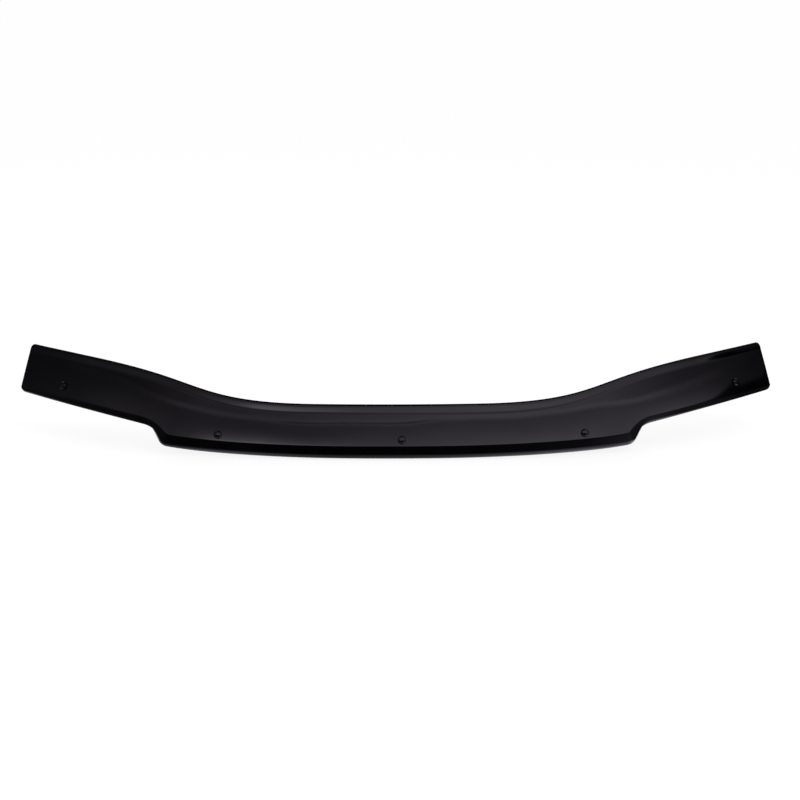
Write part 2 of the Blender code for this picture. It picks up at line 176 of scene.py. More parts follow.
# Looks of the record's slots: the plain values, then the noises that vary colour, roughness and relief
ROUGH_SPAN = (0.3, 0.7)  # values of a noise between which a roughness goes from low to high
LOOKS = {
    "smoked_acrylic": {
        "base": {"color": (0.0005, 0.0004, 0.0006), "roughness": 0.035, "ior": 1.49},
        "tint": {
            "scale": 14.0, "detail": 5.0,
            "stops": ((0.35, (0.0003, 0.0002, 0.0004)), (0.65, (0.0009, 0.0007, 0.0010))),
        },
        "rough": {"scale": 22.0, "detail": 7.0, "stretch": (1.0, 1.0, 2.5), "low": 0.02, "high": 0.06},
        "bump": {"scale": 900.0, "detail": 2.0, "distance": 0.00001, "strength": 0.2},
    },
    "cap_plastic": {
        "base": {"color": (0.002, 0.002, 0.0022), "roughness": 0.14},
        "tint": {
            "scale": 400.0, "detail": 4.0,
            "stops": ((0.3, (0.0012, 0.0012, 0.0014)), (0.7, (0.0028, 0.0028, 0.0030))),
        },
        "rough": {"scale": 300.0, "detail": 5.0, "low": 0.05, "high": 0.10},
        "bump": {"scale": 2500.0, "detail": 2.0, "distance": 0.00001, "strength": 0.15},
    },
    "washer_plastic": {
        "base": {"color": (0.012, 0.012, 0.012), "roughness": 0.5},
        "tint": {
            "scale": 500.0, "detail": 4.0,
            "stops": ((0.3, (0.009, 0.009, 0.009)), (0.7, (0.016, 0.016, 0.016))),
        },
        "bump": {"scale": 2600.0, "detail": 3.0, "distance": 0.00003, "strength": 0.6},
    },
    "zinc_steel": {
        "base": {"color": (0.62, 0.61, 0.58), "roughness": 0.3, "metallic": 1.0},
        "tint": {
            "scale": 700.0, "detail": 6.0,
            "stops": ((0.3, (0.52, 0.51, 0.47)), (0.55, (0.64, 0.63, 0.60)), (0.8, (0.70, 0.68, 0.60))),
        },
        "rough": {"scale": 1200.0, "detail": 6.0, "low": 0.22, "high": 0.42},
        "bump": {"scale": 3000.0, "detail": 2.0, "distance": 0.00001, "strength": 0.4},
    },
    "nut_rubber": {
        "base": {"color": (0.02, 0.02, 0.02), "roughness": 0.75},
        "tint": {
            "scale": 260.0, "detail": 6.0,
            "stops": ((0.3, (0.014, 0.014, 0.014)), (0.75, (0.034, 0.033, 0.032))),
        },
        "rough": {"scale": 500.0, "detail": 4.0, "low": 0.62, "high": 0.88},
        "bump": {"scale": 1800.0, "detail": 5.0, "distance": 0.00006, "strength": 0.7},
    },
    "insert_brass": {
        "base": {"color": (0.72, 0.52, 0.23), "roughness": 0.3, "metallic": 1.0},
        "tint": {
            "scale": 600.0, "detail": 6.0,
            "stops": ((0.3, (0.55, 0.38, 0.15)), (0.7, (0.76, 0.56, 0.26))),
        },
        "rough": {"scale": 900.0, "detail": 5.0, "low": 0.22, "high": 0.40},
        "bump": {"scale": 2500.0, "detail": 2.0, "distance": 0.00001, "strength": 0.4},
    },
}

# Camera, fitted to the photograph
IMAGE_PIXELS = 800
FOCAL_PIXELS = 1846.9
SENSOR_WIDTH = 36.0
CAMERA_ELEVATION = math.radians(15.0)
CAMERA_YAW = math.radians(0.80)
CAMERA_ROLL = math.radians(-0.043)
CAMERA_DISTANCE = 3.5
CAMERA_TARGET = Vector((0.0, -0.0014, 0.0882))
TARGET_PIXEL = (397.21, 398.88)

# Light on the floor and the object
FLOOR_SIZE = 120.0
FLOOR_COLOR = 0.95
FLOOR_ROUGHNESS = 0.9
FLOOR_GLOW = 0.80  # share of the floor's brightness that takes no shadow
WORLD_LEVEL = 1.0
LAMPS = {  # place, width across and power
    "key_lamp": ((1.2, -2.2, 2.8), 1.8, 20.0),
    "fill_lamp": ((-2.0, 1.5, 2.5), 2.0, 10.0),
}

# What the gloss sees: a ball of light panels close round the object, by direction from its centre in
# degrees, where azimuth 0 is towards the camera and plus to the right. A seam divides the panels into lower
# and upper ones. Stops pair an azimuth with an elevation, a span or a level. Of four sides, the light is
# full between the inner two. The stops were estimated from the brightness of the photograph's reflections,
# sampled at many places, and then changed between renders.
BALL_RADIUS = 1.2
BALL_CENTRE = (0.0, 0.0, 0.09)
BALL_TINT = (1.03, 0.95, 1.12)
FINE_AZIMUTHS = (-100.0, 100.0, 1.0)
COARSE_AZIMUTH = 4.0
FINE_ELEVATIONS = (6.0, 60.0, 0.25)
COARSE_ELEVATION = 2.0
SEAM_ELEVATION = (
    (-180, 15), (-92, 16), (-80, 22), (-70, 29), (-57, 33.8), (-40, 39.8), (-31, 43.2), (-15, 45.9),
    (0, 46.5), (14, 47.4), (24, 46.3), (34, 44), (43, 38.2), (53, 32.6), (63, 27.6), (75, 21.5),
    (85, 16.5), (100, 12), (180, 15),
)
FOOT_ELEVATION = (
    (-180, 8), (-92, 8), (-79, 14.5), (-64, 21.5), (-54, 26), (-41, 26.5), (-31, 31.5), (-20, 34.2),
    (0, 35.5), (20, 34.5), (30, 32.5), (35, 28.5), (46, 24.3), (55, 24), (67, 18.6), (77, 16.2),
    (83, 15.4), (86, 12.9), (91, 10.6), (180, 10),
)
FOOT_BLUR = 0.8  # degrees on each side of the foot over which the panels come in
FOOT_LEVEL = (
    (-108, 0.0), (-98, 0.04), (-91, 0.07), (-79, 0.13), (-64, 0.27), (-50, 0.33), (-41, 0.34), (-35, 0.50),
    (-32, 0.85), (-29, 1.45), (-25, 1.25), (-21, 1.05), (-5, 0.86), (12, 0.93), (31, 1.03), (36, 0.87),
    (46, 0.85), (60, 1.0), (68, 0.80), (73, 0.66), (78, 0.45), (83, 0.16), (90, 0.09), (96, 0.05), (103, 0.0),
)
FOOT_TO_SEAM = (  # degrees between the level at the seam and the level at the foot
    (-75, 6), (-60, 8), (-40, 11), (-33, 10.5), (-28, 8.3), (30, 9), (42, 9), (55, 6), (66, 4.8), (80, 4),
)
FOOT_TO_SEAM_LIMIT = 1.15  # how far past the foot's level the fade may run
FOOT_TO_SEAM_BEND = (  # power of the fade, which holds the level near the seam where it is high
    (-45, 1.2), (-33, 2.6), (-28, 3.2), (-21, 3.4), (-14, 2.6), (-4, 1.3), (20, 1.2), (31, 1.6), (40, 1.0),
)
UNDER_SEAM_LEVEL = (
    (-105, 0.0), (-92, 0.055), (-80, 0.085), (-70, 0.12), (-57, 0.18), (-38, 0.22), (-27, 0.31), (-15, 0.37),
    (0, 0.46), (16, 0.51), (30, 0.53), (38, 0.60), (52, 0.57), (64, 0.50), (74, 0.33), (80, 0.19), (90, 0.08),
    (103, 0.0),
)
OVER_SEAM_LEVEL = (
    (-105, 0.0), (-92, 0.06), (-70, 0.12), (-57, 0.19), (-50, 0.26), (-40, 0.46), (-30, 0.54), (-20, 0.74),
    (0, 0.87), (12, 0.87), (24, 0.98), (36, 1.02), (46, 1.0), (58, 0.85), (64, 0.68), (70, 0.45), (84, 0.15),
    (92, 0.08), (103, 0.0),
)
TOP_LEVEL = (
    (-105, 0.0), (-92, 0.06), (-70, 0.09), (-57, 0.13), (-40, 0.22), (-27, 0.46), (-10, 0.60), (10, 0.76),
    (24, 0.94), (36, 0.78), (48, 0.57), (58, 0.45), (72, 0.24), (80, 0.17), (90, 0.08), (103, 0.0),
)
SEAM_RISE = (0.4, 2.6)  # degrees over the seam between which the upper panel comes in
TOP_FADE = (2.6, 4.6)  # and between which it goes from its level over the seam to its top level
SEAM_LINE = 0.58  # share of the light that a thin line just over the seam takes away, in the middle
SEAM_LINE_SPAN = (1.6, 2.1, 2.3, 2.8)
SEAM_LINE_AZIMUTH = (-30.0, -25.0, 5.0, 15.0)
OVERHEAD_DARK = (53.0, 57.0)  # elevations between which the upper panel ends
WALL_LEVEL = (
    (-108, 0.0), (-98, 0.08), (-80, 0.09), (-70, 0.06), (-56, 0.045), (-43, 0.02), (20, 0.02), (31, 0.05),
    (42, 0.12), (57, 0.20), (67, 0.15), (74, 0.10), (79, 0.03), (84, 0.01), (96, 0.01), (103, 0.0),
)
LOW_WALL_LEVEL = (
    (-108, 0.0), (-98, 0.05), (-83, 0.06), (-56, 0.045), (-43, 0.015), (-30, 0.02), (-20, 0.005), (0, 0.015),
    (18, 0.01), (31, 0.06), (35, 0.11), (42, 0.18), (57, 0.28), (67, 0.12), (80, 0.10), (86, 0.05),
    (96, 0.06), (103, 0.0),
)
WALL_SPLIT = (1.0, -7.0)  # elevations between which the wall goes to its low level
SKIRT_LEVEL = (
    (-140, 0.0), (-125, 0.3), (-90, 0.4), (-80, 0.3), (-70, 0.08), (-50, 0.04), (-43, 0.10), (-28, 0.14),
    (-20, 0.06), (2, 0.16), (13, 0.16), (26, 0.33), (32, 0.60), (43, 0.72), (52, 0.66), (58, 1.3), (68, 2.0),
    (80, 1.6), (118, 1.9), (127, 1.4), (140, 0.0),
)
SKIRT_TOP = ((-60, -15), (-45, -17), (50, -17), (57, -13), (63, -13), (68, -16), (78, -19))
SKIRT_EASE = 9.0  # degrees below its top over which the skirt comes in
SKIRT_TO_FLOOR = (-33.0, -46.0)  # elevations between which the skirt goes over into the floor
LEFT_PANEL_LEVEL = 1.6  # a low panel at the left, for the flank of the step there
LEFT_PANEL_AZIMUTH = (-128.0, -119.0, -98.0, -86.0)
LEFT_PANEL_ELEVATION = (-25.0, -22.0, -15.0, -10.0)
FLOOR_LEVEL = (  # by metres to the right, not by azimuth
    (-0.9, 0.50), (-0.76, 0.30), (-0.68, 0.42), (-0.6, 0.70), (-0.5, 0.68), (-0.3, 0.38), (-0.2, 0.30),
    (-0.1, 0.36), (0.2, 0.46), (0.4, 0.72), (0.5, 0.92), (0.6, 1.05), (0.67, 0.80),
)
SIDE_LAMP_LEVEL = 1.2  # a soft lamp behind each end, for the sides of the round heads
SIDE_LAMP_AZIMUTH = (104.0, 116.0, 140.0, 156.0)
SIDE_LAMP_ELEVATION = (14.0, 24.0, 42.0, 54.0)


def ease(value, start, end):
    """0 before start and 1 after end, smooth between."""
    share = np.clip((value - start) / (end - start), 0.0, 1.0)
    return share * share * (3 - 2 * share)


def within(value, sides):
    """1 between the inner two of four sides, falling to 0 at the outer two."""
    return ease(value, sides[0], sides[1]) * (1 - ease(value, sides[2], sides[3]))


def between(value, stops):
    """The level at a value, on straight lines between the stops."""
    return np.interp(value, [stop[0] for stop in stops], [stop[1] for stop in stops])


def blend(first, second, share):
    return first + (second - first) * share


def top_edge(x):
    """Height of the top edge: level in the middle, then one S-shaped curve up to each end."""
    start = Vector((TOP_LEVEL_HALF, MIDDLE_HEIGHT))
    end = Vector((HALF_WIDTH - END_SLANT, MIDDLE_HEIGHT + TOP_RISE))
    span = end.x - start.x
    rise_handle = start + Vector((TOP_EASE_IN * span, 0.0))
    end_handle = end - TOP_EASE_OUT * span * Vector((1.0, TOP_END_SLOPE))
    curve = np.array(interpolate_bezier(start, rise_handle, end_handle, end, CURVE_SAMPLES))
    along = np.abs(x)
    beyond = np.maximum(along - end.x, 0.0)
    return np.interp(along, curve[:, 0], curve[:, 1]) + TOP_END_SLOPE * beyond


def nose_sweep(x):
    """How far back the hood's nose, and the shield with it, is swept."""
    along = np.abs(x)
    return along**2 / (2 * NOSE_RADIUS) + END_SWEEP * (along / HALF_WIDTH) ** 4


def face_depth(x, z):
    """How far back the face lies: the section hangs from the top edge, and the lip kicks forward."""
    drop = top_edge(x) - z
    section = math.tan(FACE_LEAN) * drop - drop**2 / (2 * FACE_CROWN_RADIUS)
    kick_angle = LIP_KICK + END_LIP_KICK * ease(np.abs(x), *END_LIP_SPAN)
    kick = math.tan(FACE_LEAN) - np.tan(FACE_LEAN - kick_angle)
    into_lip = LIP_HEIGHT - drop
    bending = np.clip(into_lip + LIP_BEND, 0.0, 2 * LIP_BEND) ** 2 / (4 * LIP_BEND)
    lip = bending + np.maximum(into_lip - LIP_BEND, 0.0)
    return nose_sweep(x) - section - kick * lip


def face_point(x, z):
    return np.stack([x, face_depth(x, z), z], axis=-1)


def face_normal(x, z):
    step = SLOPE_STEP
    slope_x = (face_depth(x + step, z) - face_depth(x - step, z)) / (2 * step)
    slope_z = (face_depth(x, z + step) - face_depth(x, z - step)) / (2 * step)
    normal = np.stack([slope_x, -np.ones_like(slope_x), slope_z], axis=-1)
    return normal / np.linalg.norm(normal, axis=-1, keepdims=True)


def fillet(before, corner, after, radius, count):
    """Points of the arc that rounds a corner, limited by the shorter of its two sides."""
    before, corner, after = (np.array(p) for p in (before, corner, after))
    back = (before - corner) / np.linalg.norm(before - corner)
    on = (after - corner) / np.linalg.norm(after - corner)
    half = math.acos(float(back @ on)) / 2
    room = min(np.linalg.norm(before - corner), np.linalg.norm(after - corner))
    radius = min(radius, room * math.tan(half))
    middle = (back + on) / np.linalg.norm(back + on)
    centre = corner + middle * radius / math.sin(half)
    touch = corner + back * radius / math.tan(half) - centre
    turn = math.pi - 2 * half
    if back[0] * on[1] - back[1] * on[0] > 0:
        turn = -turn
    points = []
    for angle in np.linspace(0.0, turn, count + 1):
        cos, sin = math.cos(angle), math.sin(angle)
        points.append(centre + (cos * touch[0] - sin * touch[1], sin * touch[0] + cos * touch[1]))
    return points


def middle_crease(x):
    return MIDDLE_SAG * (x / STEP_X) ** MIDDLE_SAG_POWER


def wing_crease(x):
    start = STEP_X + STEP_RUN
    along = (x - start) / (HALF_WIDTH - start)
    return MIDDLE_SAG + STEP_RISE + WING_RISE * ((1 + WING_BOW) * along - WING_BOW * along**2)


def crease(inset):
    """The whole crease as (x, height) points, with its ends drawn in by the inset."""
    foot = (STEP_X, middle_crease(STEP_X))
    head = (STEP_X + STEP_RUN, wing_crease(STEP_X + STEP_RUN))
    riser = math.hypot(STEP_RUN, STEP_RISE)
    inboard = STEP_X - riser / 2
    outboard = head[0] + riser
    split = np.array(foot) + STEP_CORNER_SHARE * np.subtract(head, foot)
    corner = fillet((inboard, middle_crease(inboard)), foot, split, STEP_CORNER_RADIUS, CORNER_COLUMNS)
    hollow = fillet(split, head, (outboard, wing_crease(outboard)), STEP_HOLLOW_RADIUS, HOLLOW_COLUMNS)
    level = [(x, middle_crease(x)) for x in np.linspace(0.0, corner[0][0], MIDDLE_COLUMNS + 1)[:-1]]
    rounding = HALF_WIDTH - FOOT_CORNER_RADIUS
    wing_x = np.linspace(hollow[-1][0], rounding, WING_COLUMNS + 1)[1:]
    angles = np.linspace(0.0, math.pi / 2, END_COLUMNS + 1)[1:]
    end_x = [rounding + (FOOT_CORNER_RADIUS - inset) * math.sin(angle) for angle in angles]
    wing = [(x, wing_crease(x)) for x in (*wing_x, *end_x)]
    right = np.array([*level, *corner, *hollow, *wing])
    return np.concatenate([right[:0:-1] * (-1.0, 1.0), right])


def end_rounding(x, inset):
    """1 along the edges, falling to 0 over the rounded corner at each end."""
    radius = FOOT_CORNER_RADIUS - inset
    into = np.clip((np.abs(x) - HALF_WIDTH + FOOT_CORNER_RADIUS) / radius, 0.0, 1.0)
    return np.sqrt(1.0 - into**2)


def roll_share(x, inset):
    """How much of the roll there is: all of it in the middle, less past the step, fading to the ends."""
    start = STEP_X + STEP_RUN
    stepped = np.clip((np.abs(x) - STEP_X) / STEP_RUN, 0.0, 1.0)
    along = np.clip((np.abs(x) - start) / (HALF_WIDTH - start), 0.0, 1.0)
    wing = ROLL_SHARE_AT_STEP + (ROLL_SHARE_AT_END - ROLL_SHARE_AT_STEP) * along
    share = (1 - (1 - wing) * stepped) * end_rounding(x, inset)
    return np.maximum(share, LEAST_ROLL_SHARE)


def roll_section(share, inset):
    """(outward, deep, angle) points of the roll past the crease."""
    points = []
    for angle in np.linspace(0.0, ROLL_BEND_ANGLE, BEND_ROWS + 1)[1:]:
        points.append((ROLL_BEND_RADIUS * math.sin(angle), ROLL_BEND_RADIUS * (1 - math.cos(angle)), angle))
    outward, deep, angle = points[-1]
    for along in np.linspace(0.0, ROLL_FACET * share, FACET_ROWS + 1)[1:]:
        points.append((outward + along * math.cos(angle), deep + along * math.sin(angle), angle))
    outward, deep, first = points[-1]
    last = first + ROLL_TURN_ANGLE * share
    for angle in np.linspace(first, last, TURN_ROWS + 1)[1:]:
        across = ROLL_TURN_RADIUS * (math.sin(angle) - math.sin(first))
        down = ROLL_TURN_RADIUS * (math.cos(first) - math.cos(angle))
        points.append((outward + across, deep + down, angle))
    outward, deep, angle = points[-1]
    for along in np.linspace(0.0, (ROLL_FLANGE - max(inset, 0.0)) * share, FLANGE_ROWS + 1)[1:]:
        points.append((outward + along * math.cos(angle), deep + along * math.sin(angle), angle))
    return np.array(points)


def waves(points):
    """Height of the slow waves in the sheet at each point."""
    flat = points.reshape(-1, 3)
    heights = [noise.noise(Vector((p[0], WAVE_SQUEEZE * p[2], 0.0)) / WAVE_LENGTH) for p in flat]
    return WAVE_HEIGHT * np.array(heights).reshape(points.shape[:-1])


def sheet_front(inset):
    """Points and normals of the sheet's front, as rows from the top edge to the tip of the roll."""
    foot = crease(inset)
    foot_x, foot_z = foot[:, 0], foot[:, 1]
    wing_start = STEP_X + STEP_RUN
    out = np.clip((np.abs(foot_x) - wing_start) / (HALF_WIDTH - wing_start), 0.0, 1.0)
    head_x = foot_x - np.sign(foot_x) * END_SLANT * out**2
    corner_drop = inset + (TOP_CORNER_RADIUS - inset) * (1 - end_rounding(foot_x, inset))
    height = top_edge(head_x) - foot_z
    bend_start = LIP_HEIGHT - LIP_BEND
    lip_shares = np.linspace(0.0, 1.0, LIP_ROWS + 1)
    bend_shares = np.linspace(0.0, 1.0, LIP_BEND_ROWS + 1)[1:]
    drops = [corner_drop + (bend_start - corner_drop) * share for share in lip_shares]
    drops += [bend_start + 2 * LIP_BEND * share for share in bend_shares]
    places = []
    for drop in drops:
        x = head_x + (foot_x - head_x) * drop / height
        places.append((x, top_edge(x) - drop))
    last_x, last_z = places[-1]
    for share in np.linspace(0.0, 1.0, FACE_ROWS + 1)[1:]:
        places.append((last_x + (foot_x - last_x) * share, last_z + (foot_z - last_z) * share))
    points = [face_point(x, z) for x, z in places]
    normals = [face_normal(x, z) for x, z in places]

    base, up = points[-1], normals[-1]
    outward = np.cross(np.gradient(base, axis=0), up)
    outward /= np.linalg.norm(outward, axis=1, keepdims=True)
    sections = np.array([roll_section(share, inset) for share in roll_share(foot_x, inset)])
    for row in range(sections.shape[1]):
        out, deep, angle = (sections[:, row, part][:, None] for part in range(3))
        points.append(base + out * outward - deep * up)
        normals.append(np.cos(angle) * up + np.sin(angle) * outward)
    points, normals = np.array(points), np.array(normals)
    return points + waves(points)[..., None] * normals, normals


def boundary(grid):
    """The grid's outer loop of values, once round."""
    return np.concatenate([grid[0, :-1], grid[:-1, -1], grid[-1, :0:-1], grid[:0:-1, 0]])


def rim_layers():
    """(depth, inset) of the loops between the front's edge and the back's, round both edges of the rim."""
    front = []
    for angle in np.linspace(0.0, math.pi / 2, FRONT_RIM_STEPS + 1)[1:]:
        inset = RIM_REACH - (RIM_REACH + RIM_SPREAD) * math.sin(angle)
        front.append((RIM_DEPTH * (1 - math.cos(angle)), inset))
    back = []
    for angle in np.linspace(math.pi / 2, 0.0, BACK_RIM_STEPS + 1)[1:-1]:
        inset = BACK_RIM_REACH - (BACK_RIM_REACH + RIM_SPREAD) * math.sin(angle)
        back.append((SHEET - (SHEET - RIM_DEPTH) * (1 - math.cos(angle)), inset))
    return front + back


def add_object(name, data):
    added = bpy.data.objects.new(name, data)
    bpy.context.scene.collection.objects.link(added)
    return added


def add_material(name):
    material = bpy.data.materials.new(name)
    material.use_nodes = True
    return material


def add_piece(name, mesh, slot, node):
    """A piece of the visual model that takes the place of a node."""
    mesh.shade_smooth()
    mesh.set_sharp_from_angle(angle=SHARP_ANGLE)
    mesh.materials.append(bpy.data.materials[slot + "_look"])
    piece = add_object(name, mesh)
    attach(piece, "root")
    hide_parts(node)


def make_shield():
    """The sheet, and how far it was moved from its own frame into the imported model's."""
    front, _ = sheet_front(RIM_REACH)
    back, back_normals = sheet_front(BACK_RIM_REACH)
    back = back - SHEET * back_normals
    count, columns = front.shape[:2]
    size = count * columns
    order = np.arange(size).reshape(count, columns)
    quads = np.stack([order[:-1, :-1], order[1:, :-1], order[1:, 1:], order[:-1, 1:]], axis=-1).reshape(-1, 4)
    faces = [*quads.tolist(), *(quads[:, ::-1] + size).tolist()]
    points = [*front.reshape(-1, 3), *back.reshape(-1, 3)]
    loops = [boundary(order)]
    for depth, inset in rim_layers():
        layer, layer_normals = sheet_front(inset)
        ring = boundary(layer) - depth * boundary(layer_normals)
        loops.append(np.arange(len(points), len(points) + len(ring)))
        points += list(ring)
    loops.append(boundary(order) + size)
    for near, far in zip(loops, loops[1:]):
        for side in range(len(near)):
            after = (side + 1) % len(near)
            faces.append([int(near[side]), int(near[after]), int(far[after]), int(far[side])])

    points = np.array(points)
    low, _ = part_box("deflector_shield")
    shift = np.array(low) - points.min(axis=0)
    shift[0] = 0.0  # it is centred as it is
    mesh = bpy.data.meshes.new("shield_sheet")
    mesh.from_pydata((points + shift).tolist(), [], faces)
    mesh.validate()
    add_piece("shield_sheet", mesh, "smoked_acrylic", "deflector_shield")
    return shift


def ring_of(bm, radius, height):
    """One ring of a turned mesh, or the single point that stands for it on the axis."""
    if radius <= AXIS_REACH:
        return [bm.verts.new((0.0, 0.0, height))]
    turns = [2 * math.pi * side / TURNED_SIDES for side in range(TURNED_SIDES)]
    return [bm.verts.new((radius * math.cos(turn), radius * math.sin(turn), height)) for turn in turns]


def joined(name, bm, rings, closed=False):
    """The mesh of the rings joined in order, with the last one joined to the first where it is closed."""
    pairs = list(zip(rings, rings[1:]))
    if closed:
        pairs.append((rings[-1], rings[0]))
    for upper, lower in pairs:
        for side in range(TURNED_SIDES):
            after = (side + 1) % TURNED_SIDES
            corners = [upper[side % len(upper)], upper[after % len(upper)]]
            corners += [lower[after % len(lower)], lower[side % len(lower)]]
            bm.faces.new(list(dict.fromkeys(corners)))
    bmesh.ops.recalc_face_normals(bm, faces=bm.faces)
    mesh = bpy.data.meshes.new(name)
    bm.to_mesh(mesh)
    bm.free()
    return mesh


def turned(name, profile, closed=False):
    """A turned mesh about Z. A closed profile makes a ring, and an open one starts and ends on the axis."""
    bm = bmesh.new()
    return joined(name, bm, [ring_of(bm, radius, height) for radius, height in profile], closed)


def softened(corners, radius):
    """A closed profile with every corner rounded."""
    points = []
    for index, corner in enumerate(corners):
        after = corners[(index + 1) % len(corners)]
        points += [tuple(point) for point in fillet(corners[index - 1], corner, after, radius, EDGE_STEPS)]
    return points


def dome(radius, base, height, count):
    """Points of a shallow dome from its rim at the base to its middle."""
    rise = height - base
    sphere = (radius**2 + rise**2) / (2 * rise)
    points = []
    for angle in np.linspace(math.asin(radius / sphere), 0.0, count + 1)[:-1]:
        points.append((sphere * math.sin(angle), height - sphere + sphere * math.cos(angle)))
    return [*points, (0.0, height)]


def head_seat():
    return SEAT_GAP + WASHER_FLOOR + SEAT_GAP


def barrel_end():
    return -(SHEET + SEAT_GAP + FLANGE_THICKNESS + BARREL_LENGTH)


def button(radius, height, shoulder_radius):
    """Points of a flat round button from its side, over its shoulder, to the middle of its slight crown."""
    crown_base = height - CAP_CROWN
    corner = (radius, crown_base)
    shoulder = fillet((radius, 0.0), corner, (0.0, crown_base), shoulder_radius, CAP_SHOULDER_STEPS)
    crown = dome(float(shoulder[-1][0]), crown_base, height, CAP_CROWN_STEPS)
    return [*(tuple(point) for point in shoulder), *crown[1:]]


def cap_mesh():
    outer = HEAD_RADIUS + 2 * SEAT_GAP + WASHER_RIM + SEAT_GAP + CAP_WALL
    inner_top = head_seat() + HEAD_HEIGHT + CAP_HEADROOM
    outside = button(outer, inner_top + CAP_WALL, CAP_SHOULDER_RADIUS)
    inside = button(outer - CAP_WALL, inner_top, CAP_SHOULDER_RADIUS - CAP_WALL)
    foot = fillet((outer - CAP_WALL, SEAT_GAP), (outer, SEAT_GAP), (outer, head_seat()), CAP_EDGE, EDGE_STEPS)
    return turned("cap", [*inside[::-1], (outer - CAP_WALL, SEAT_GAP), *(tuple(p) for p in foot), *outside])


def well_nut_mesh():
    bore = SCREW_RADIUS + SEAT_GAP
    socket = bore + INSERT_WALL + SEAT_GAP
    barrel = socket + RUBBER_WALL
    front = -(SHEET + SEAT_GAP)
    back = front - FLANGE_THICKNESS
    end = barrel_end()
    floor = end + INSERT_LENGTH + SEAT_GAP
    corners = [
        (bore, front),
        (FLANGE_RADIUS, front),
        (FLANGE_RADIUS, back),
        (barrel, back),
        (barrel, end),
        (socket, end),
        (socket, floor),
        (bore, floor),
    ]
    return turned("well_nut", softened(corners, RUBBER_EDGE), closed=True)


def insert_mesh():
    bore = SCREW_RADIUS + SEAT_GAP
    outer = bore + INSERT_WALL
    end = barrel_end()
    corners = [(bore, end), (outer, end), (outer, end + INSERT_LENGTH), (bore, end + INSERT_LENGTH)]
    return turned("nut_insert", softened(corners, INSERT_EDGE), closed=True)


def thread_ring(bm, height):
    """One ring of the screw's helical thread."""
    ring = []
    for side in range(TURNED_SIDES):
        turn = side / TURNED_SIDES
        radius = SCREW_RADIUS - THREAD_DEPTH * abs(2 * ((height / THREAD_PITCH + turn) % 1.0) - 1)
        angle = 2 * math.pi * turn
        ring.append(bm.verts.new((radius * math.cos(angle), radius * math.sin(angle), height)))
    return ring


def screw_mesh():
    """A pan-head screw whose shank carries a real helical thread."""
    seat = head_seat()
    tip = barrel_end() - SCREW_END
    thread_top = -(SHEET + SEAT_GAP + FLANGE_THICKNESS)
    crown = dome(HEAD_RADIUS, seat + HEAD_SIDE, seat + HEAD_HEIGHT, HEAD_STEPS)
    above_dimple = [point for point in crown if point[0] > HEAD_DIMPLE_RADIUS]
    dimple_top = above_dimple[-1][1]
    end = [(0.0, tip), (SCREW_RADIUS - SCREW_TIP_EDGE, tip)]
    head = [
        (SCREW_RADIUS, thread_top),
        (SCREW_RADIUS, seat),
        (HEAD_RADIUS, seat),
        *above_dimple,
        (HEAD_DIMPLE_RADIUS, dimple_top),
        (0.0, dimple_top - HEAD_DIMPLE_DEPTH),
    ]
    bm = bmesh.new()
    rings = [ring_of(bm, radius, height) for radius, height in end]
    thread_heights = np.arange(tip + SCREW_TIP_EDGE, thread_top, THREAD_PITCH / THREAD_STEPS)
    rings += [thread_ring(bm, height) for height in thread_heights]
    rings += [ring_of(bm, radius, height) for radius, height in head]
    return joined("screw", bm, rings)


def station_frame(side, row):
    """Frame of a screw: Z out of the sheet, X level."""
    from_middle = {
        "middle": 0.0,
        "inner": STEP_X - INNER_SCREW_INSET,
        "outer": HALF_WIDTH - OUTER_SCREW_INSET,
    }[row]
    across = side * from_middle + SCREW_ROW_SHIFT
    line = wing_crease if abs(across) > STEP_X else middle_crease
    x, z = np.array(across), np.array(line(abs(across)) + SCREW_UP[row])
    out = Vector(face_normal(x, z))
    level = Vector((0.0, 0.0, 1.0)).cross(out).normalized()
    turn = Matrix((level, out.cross(level), out)).transposed().to_4x4()
    return Matrix.Translation(Vector(face_point(x, z))) @ turn


def make_fasteners(shift):
    kinds = (
        ("screw_cap", cap_mesh(), "cap_plastic"),
        ("screw", screw_mesh(), "zinc_steel"),
        ("well_nut", well_nut_mesh(), "nut_rubber"),
        ("nut_insert", insert_mesh(), "insert_brass"),
    )
    for station, (side, row) in STATIONS.items():
        place = Matrix.Translation(Vector(shift)) @ station_frame(side, row)
        for kind, mesh, slot in kinds:
            own = mesh.copy()
            own.transform(place)
            add_piece(f"{kind}_{station}_fine", own, slot, f"{kind}_{station}")
        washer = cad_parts[f"cup_washer_{station}"]
        for material_slot in washer.material_slots:
            material_slot.material = bpy.data.materials["washer_plastic_look"]


